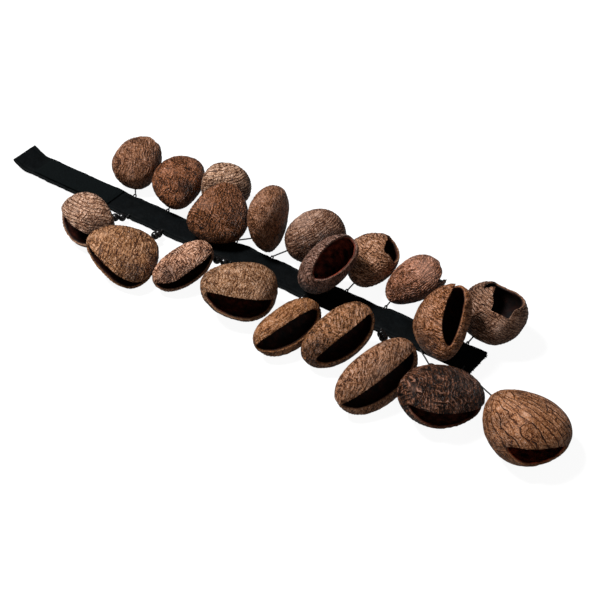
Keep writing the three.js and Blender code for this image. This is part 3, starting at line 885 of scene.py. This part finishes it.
def strap_points(ties):
    """Rings along the strap: hemmed and wrinkled, drawn in at the ties, wavy edged and torn at the end."""
    x = np.linspace(-STRAP_LENGTH / 2, STRAP_LENGTH / 2, STRAP_RINGS)
    a = ring_angles(STRAP_ROUND)
    y = STRAP_WIDTH / 2 * signed_power(np.cos(a), EDGE_POWER)
    z = STRAP_THICK / 2 * signed_power(np.sin(a), FACE_POWER)
    gx, gy = np.meshgrid(x, y, indexing="ij")
    gz = np.broadcast_to(z, gx.shape).copy()
    hem = sewn_line(np.abs(gy), HEM) + sewn_line(np.abs(gy), SEAM)
    places = np.stack([gx.ravel() / WRINKLE_LENGTH, gy.ravel() / WRINKLE_LENGTH, np.sign(gz).ravel()], 1)
    wide_seed, fine_seed = WRINKLE_SEEDS
    wrinkle = noise(places, wide_seed).reshape(gx.shape) * WRINKLE_HEIGHT
    fine = noise(places * FINER, fine_seed).reshape(gx.shape) * FINE_HEIGHT
    gz += np.sign(gz) * (hem + wrinkle - CLOTH_SINK + fine)
    for tie in ties:
        near = np.exp(-((gx - tie.x / MM) / TIE_SPREAD) ** 2) * (np.sign(gy) == np.sign(tie.y))
        gy -= np.sign(gy) * near * PULL * ease(np.abs(gy), PULL_FROM, STRAP_WIDTH / 2)
        gz *= 1 - PINCH * near * ease(np.abs(gy), PINCH_FROM, STRAP_WIDTH / 2)
    for side in (-1, 1):
        edge = layered(on_axis(x, 0), EDGE_WAVES, side)
        gy += edge[:, None] * ease(side * gy, WAVY_FROM, STRAP_WIDTH / 2)
    torn = layered(on_axis(y, 1), TORN_END)
    gx = gx + torn * ease(gx - STRAP_LENGTH / 2 + TORN_LENGTH, high=TORN_LENGTH)
    gz *= ease(STRAP_LENGTH / 2 - np.abs(gx), high=END_ROUND) * 0.5 + 0.5
    gz += STRAP_THICK / 2 + strap_lift(gx)
    return np.stack([gx, gy, gz], 2).reshape(-1, 3)


def make_strap(material, ties):
    """The cloth band, closed at both ends."""
    faces = flipped(ring_faces(STRAP_RINGS, STRAP_ROUND))
    faces.append(end_face(0, STRAP_ROUND))
    faces.append(end_face(STRAP_ROUND * (STRAP_RINGS - 1), STRAP_ROUND)[::-1])
    piece = new_piece("strap_cloth_band", strap_points(ties), faces, material, "strap")
    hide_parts("strap_band")


def make_fray(material):
    """Loose threads at the cut end of the strap."""
    rng = np.random.default_rng(FRAY_SEED)
    points, faces = [], []
    height = STRAP_THICK / 2 + HOOK_RISE
    t = np.linspace(0, 1, FRAY_STEPS)[:, None]

    def either_way(limit):
        return rng.uniform(-limit, limit)

    for _ in range(FRAY_THREADS):
        root = np.array([STRAP_LENGTH / 2 - FRAY["inside"], either_way(FRAY["across"]),
                         height + either_way(FRAY["through"])])
        way = np.array([1, *(either_way(lean) for lean in FRAY["lean"])]) * rng.uniform(*FRAY["length"])
        droop = np.array([0, either_way(FRAY["bend"]), -FRAY["droop"]])
        add_tube(points, faces, root + way * t + droop * t * t, FRAY["radius"], FRAY_SIDES)
    new_piece("strap_cloth_fray", np.concatenate(points), faces, material, "strap")


def make_tape(node, name, material):
    """A woven tape with rounded edges in the place of its solid."""
    low, high = (np.array(c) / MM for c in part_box(node))
    nx, ny = TAPE_LONG, TAPE_WIDE
    x = np.linspace(low[0], high[0], nx)
    y = np.linspace(low[1], high[1], ny)
    gx, gy = np.meshgrid(x, y, indexing="ij")
    from_end = np.minimum(gx - low[0], high[0] - gx)
    from_side = np.minimum(gy - low[1], high[1] - gy)
    round_edge = ease(np.minimum(from_end / TAPE_END, from_side / TAPE_SIDE))
    flat = np.stack([gx.ravel(), gy.ravel(), 0 * gx.ravel()], 1)
    pile = layered(flat, TAPE_PILE).reshape(gx.shape)
    top = low[2] + (high[2] - low[2]) * (TAPE_LEAST + TAPE_MORE * round_edge) + pile * round_edge
    bottom = np.full_like(gx, low[2] + TAPE_UNDER)
    layers = [np.stack([gx, gy, level], 2).reshape(-1, 3) for level in (top, bottom)]
    count = nx * ny
    faces = []
    for i in range(nx - 1):
        for j in range(ny - 1):
            q = (i * ny + j, (i + 1) * ny + j, (i + 1) * ny + j + 1, i * ny + j + 1)
            faces.append(q)
            faces.append(tuple(count + k for k in q[::-1]))
    loop = [i * ny for i in range(nx)] + [(nx - 1) * ny + j for j in range(1, ny)]
    loop += [i * ny + ny - 1 for i in range(nx - 2, -1, -1)] + list(range(ny - 2, 0, -1))
    for a, b in zip(loop, loop[1:] + loop[:1]):
        faces.append((b, a, count + a, count + b))
    piece = new_piece(name, np.concatenate(layers), faces, material, "strap")
    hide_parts(node)


# Cords and beads

def cord_ends(label, tie):
    """Where a tie cord leaves its loop, and the middle of its knot."""
    corners = np.array([v.co for v in frame["nodes"]["tie_cord_" + label].data.vertices]) / MM
    furthest = corners[np.argmax(np.linalg.norm(corners - tie, axis=1))]
    ball = corners[np.linalg.norm(corners - furthest, axis=1) < KNOT_REACH]
    knot = (ball.min(0) + ball.max(0)) / 2
    rise = np.array([0, knot[1] - tie[1], knot[2] - tie[2]])
    return tie + LOOP_R * rise / np.linalg.norm(rise), knot


def cord_line(start, knot, tie):
    """Middle line of a cord: once round the thread bar, then straight to the knot."""
    arm = start - tie
    a = math.atan2(arm[2], arm[1]) + np.linspace(-TURN, 0, LOOP_STEPS)
    loop = tie + LOOP_R * np.stack([0 * a, np.cos(a), np.sin(a)], 1)
    loop[:, 0] += np.linspace(-LOOP_SLIDE, 0, LOOP_STEPS)
    steps = max(LEAST_STEPS, int(np.linalg.norm(knot - start) / RUN_STEP))
    run = start + (knot - start) * np.linspace(0, 1, steps)[1:, None]
    return np.concatenate([loop, run])


def make_cord(label, tie, material):
    """A cord of two twisted plies, with a wound knot inside the shell."""
    start, knot = cord_ends(label, tie)
    line = cord_line(start, knot, tie)
    gap = np.linalg.norm(np.diff(line, axis=0), axis=1)
    travel = np.concatenate([[0], np.cumsum(gap)])
    side, other = across_path(line)
    points, faces = [], []
    for ply in range(2):
        turn = (travel / PLY_LAY * TURN + ply * np.pi)[:, None]
        path = line + PLY_OUT * (side * np.cos(turn) + other * np.sin(turn))
        add_tube(points, faces, path, PLY_R, THREAD_SIDES)
    a = np.linspace(0, TURN * KNOT_WRAPS, WRAP_STEPS)
    level = np.linspace(-KNOT_RISE, KNOT_RISE, WRAP_STEPS)
    wrap = knot + KNOT_R * np.stack([np.cos(a), np.sin(a), level], 1)
    add_tube(points, faces, wrap, KNOT_THREAD_R, THREAD_SIDES)
    piece = new_piece("tie_thread_" + label, np.concatenate(points), faces, material, "rattle_" + label)
    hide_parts("tie_cord_" + label)


def make_bead(node, axis, body, material):
    """A round bead in the place of its solid, with its bore along an axis."""
    low, high = (np.array(c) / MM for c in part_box(node))
    centre = (low + high) / 2
    axis = np.array(axis)
    side = unit(np.cross(axis, [0, 0, 1.0]))
    other = np.cross(axis, side)
    r = BEAD_DIA / 2
    edge = math.asin(BEAD_BORE_R / r)
    t = np.linspace(-np.pi / 2 + edge, np.pi / 2 - edge, BEAD_RINGS)
    profile = [(r * math.cos(x), BEAD_FLAT * r * math.sin(x)) for x in t]
    bore_end = BORE_SHARE * r * math.cos(edge)
    profile += [(BEAD_BORE_R, bore_end), (BEAD_BORE_R, -bore_end)]
    a = ring_angles(BEAD_ROUND)
    ring = side[None] * np.cos(a)[:, None] + other[None] * np.sin(a)[:, None]
    points = np.concatenate([centre + radius * ring + height * axis for radius, height in profile])
    faces = ring_faces(len(profile), BEAD_ROUND)
    faces += band_faces((len(profile) - 1) * BEAD_ROUND, 0, BEAD_ROUND)
    piece = new_piece(node + "_ball", points, faces, material, body)
    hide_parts(node)


# Studio

def aim(name, data, place, way):
    """A camera or lamp at a place in metres, facing a way."""
    thing = bpy.data.objects.new(name, data)
    bpy.context.scene.collection.objects.link(thing)
    thing.location = place
    thing.rotation_mode = "QUATERNION"
    thing.rotation_quaternion = way.to_track_quat("-Z", "Y")
    return thing


def make_camera():
    """The camera at the photograph's viewing angle."""
    data = bpy.data.cameras.new("camera")
    data.sensor_width = SENSOR
    data.lens = FOCAL_SHARE * SENSOR
    data.clip_start, data.clip_end = CLIP
    a, e = math.radians(VIEW_AZIMUTH), math.radians(VIEW_ELEVATION)
    back = Vector((math.sin(a) * math.cos(e), -math.cos(a) * math.cos(e), math.sin(e)))
    place = (Vector(VIEW_TARGET) + VIEW_DISTANCE * back) * MM
    bpy.context.scene.camera = aim("camera", data, place, -back)


def make_floor():
    """White ground: its glow keeps it white, and its plain colour keeps the object's shadow."""
    bpy.ops.mesh.primitive_plane_add(size=FLOOR_SIZE, location=(0, 0, -FLOOR_DROP * MM))
    floor = bpy.context.object
    floor.name = "floor"
    n = Nodes("floor")
    n.finish(grey(FLOOR_GREY), FLOOR_ROUGH, 0)
    rays = n.add("LightPath")
    strength = n.total(FLOOR_GLOW, (rays.outputs["Is Camera Ray"], CAMERA_GLOW))
    glow = n.add("Emission", {"Strength": strength})
    add = n.add("AddShader", {0: n.shader.outputs[0], 1: glow.outputs[0]})
    n.link(add.outputs[0], n.tree.nodes["Material Output"].inputs["Surface"])
    floor.data.materials.append(n.material)


def make_lights():
    """A soft key lamp, a weak fill lamp and an even world, at a plain level."""
    scene = bpy.context.scene
    world = bpy.data.worlds.new("studio")
    scene.world = world
    world.use_nodes = True
    tree = world.node_tree
    rays = tree.nodes.new("ShaderNodeLightPath")
    level = tree.nodes.new("ShaderNodeMapRange")
    level.inputs["To Min"].default_value = WORLD_LIGHT
    level.inputs["To Max"].default_value = WORLD_SHINE
    tree.links.new(rays.outputs["Is Glossy Ray"], level.inputs["Value"])
    background = tree.nodes["Background"]
    background.inputs["Color"].default_value = grey(1)
    tree.links.new(level.outputs["Result"], background.inputs["Strength"])
    for name, lamp in LAMPS.items():
        data = bpy.data.lights.new(name, "AREA")
        data.energy = lamp["power"]
        data.size = lamp["size"]
        aim(name, data, lamp["place"], Vector(LAMP_TARGET) - Vector(lamp["place"]))
    scene.view_settings.view_transform = "Standard"


make_camera()
make_lights()
make_floor()

cotton = cloth_material()
make_strap(cotton, list(tie_of.values()))
make_fray(cotton)
tape = black_material("fastening_tape")
make_tape("tail_loop_tape", "loop_tape_pile", tape)
make_tape("end_hook_tape", "hook_tape_pile", tape)
thread = black_material("waxed_thread")
gloss = black_material("black_bead")
for index, (label, row) in enumerate(SHELLS.items()):
    make_shell(label, row, {**PLAIN_COAT, **COATS[label]}, SEEDS_EACH * index)
    make_cord(label, np.array(tie_of[label]) / MM, thread)
for body, joint in joint_of.items():
    if body.startswith("beads_"):
        for node in frame["record"]["behaviour"]["bodies"][body]:
            make_bead(node, joint["axis"], body, gloss)
